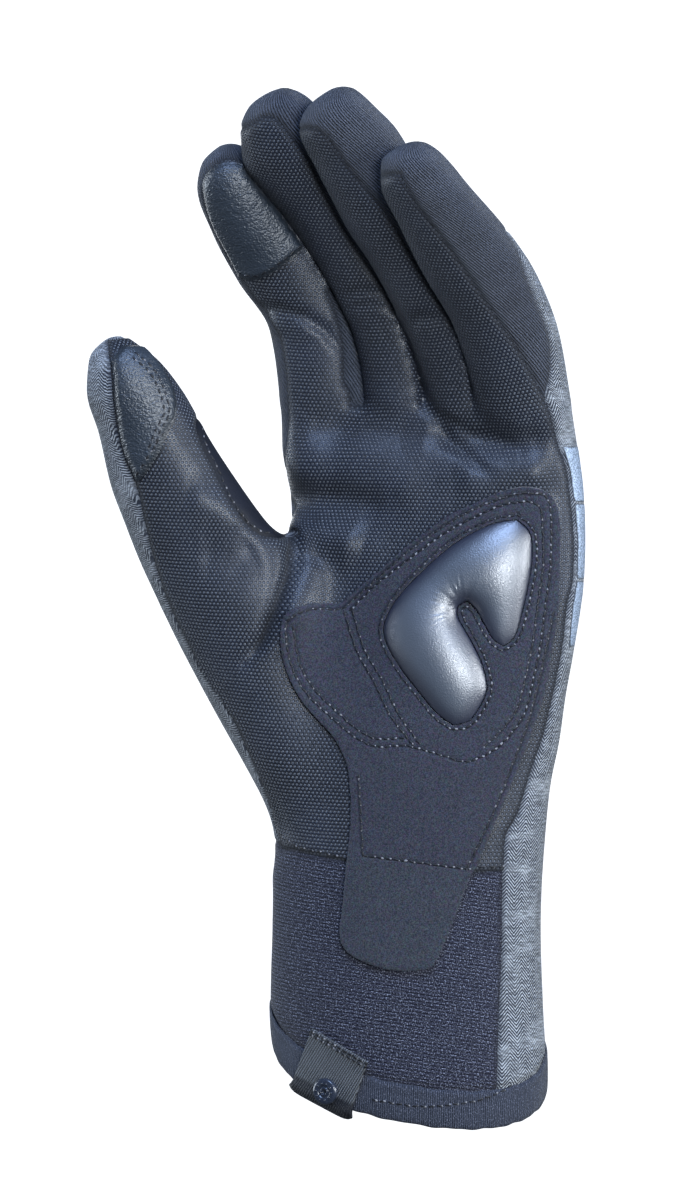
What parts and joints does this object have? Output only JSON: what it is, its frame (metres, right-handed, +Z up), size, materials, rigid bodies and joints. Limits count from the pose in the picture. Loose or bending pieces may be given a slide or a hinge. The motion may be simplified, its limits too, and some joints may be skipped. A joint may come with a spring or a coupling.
{
  "type": "winter cycling glove",
  "caption": "Left-hand full-finger winter cycling glove, as worn, with embossed leather palm, suede heel overlay, raised gel pad, grey fabric back and long bound cuff.",
  "frame": {"origin": "the middle of the wrist opening, where the hand goes in", "axes": "+Z up from the wrist to the fingertips, +X towards the little finger, palm towards -Y and back of the hand towards +Y"},
  "size_m": [0.1354, 0.0841, 0.2809],
  "materials": {
    "embossed_leather": "synthetic leather embossed with a fine honeycomb, satin",
    "grain_leather": "smooth pebbled leather, satin sheen",
    "gusset_leather": "smooth matt stretch leather",
    "suede": "suede-like microfibre, matt with fine speckle",
    "gel": "soft gel pad under a satin film",
    "rib_knit": "fine ribbed knit",
    "heather_fabric": "grey heather fabric with herringbone columns",
    "reflective_film": "pale blue reflective film on cloth",
    "cuff_knit_fabric": "dense elastic knit",
    "binding_fabric": "finely ribbed binding",
    "webbing": "twill webbing",
    "stud_plastic": "glossy moulded plastic"
  },
  "bodies": {
    "root": {"palm_panel": "embossed_leather", "thumb_panel": "embossed_leather", "thumb_patch": "grain_leather", "index_patch": "grain_leather", "thumb_gusset": "gusset_leather", "heel_overlay": "suede", "gel_pad": "gel", "index_knit": "rib_knit", "middle_knit": "rib_knit", "ring_knit": "rib_knit", "pinky_knit": "rib_knit", "back_panel": "heather_fabric", "thumb_back": "heather_fabric", "reflector_upper": "reflective_film", "reflector_middle": "reflective_film", "reflector_lower": "reflective_film", "cuff_knit": "cuff_knit_fabric", "hem_binding": "binding_fabric", "pull_tab": "webbing", "snap_button": "stud_plastic"}
  },
  "joints": []
}
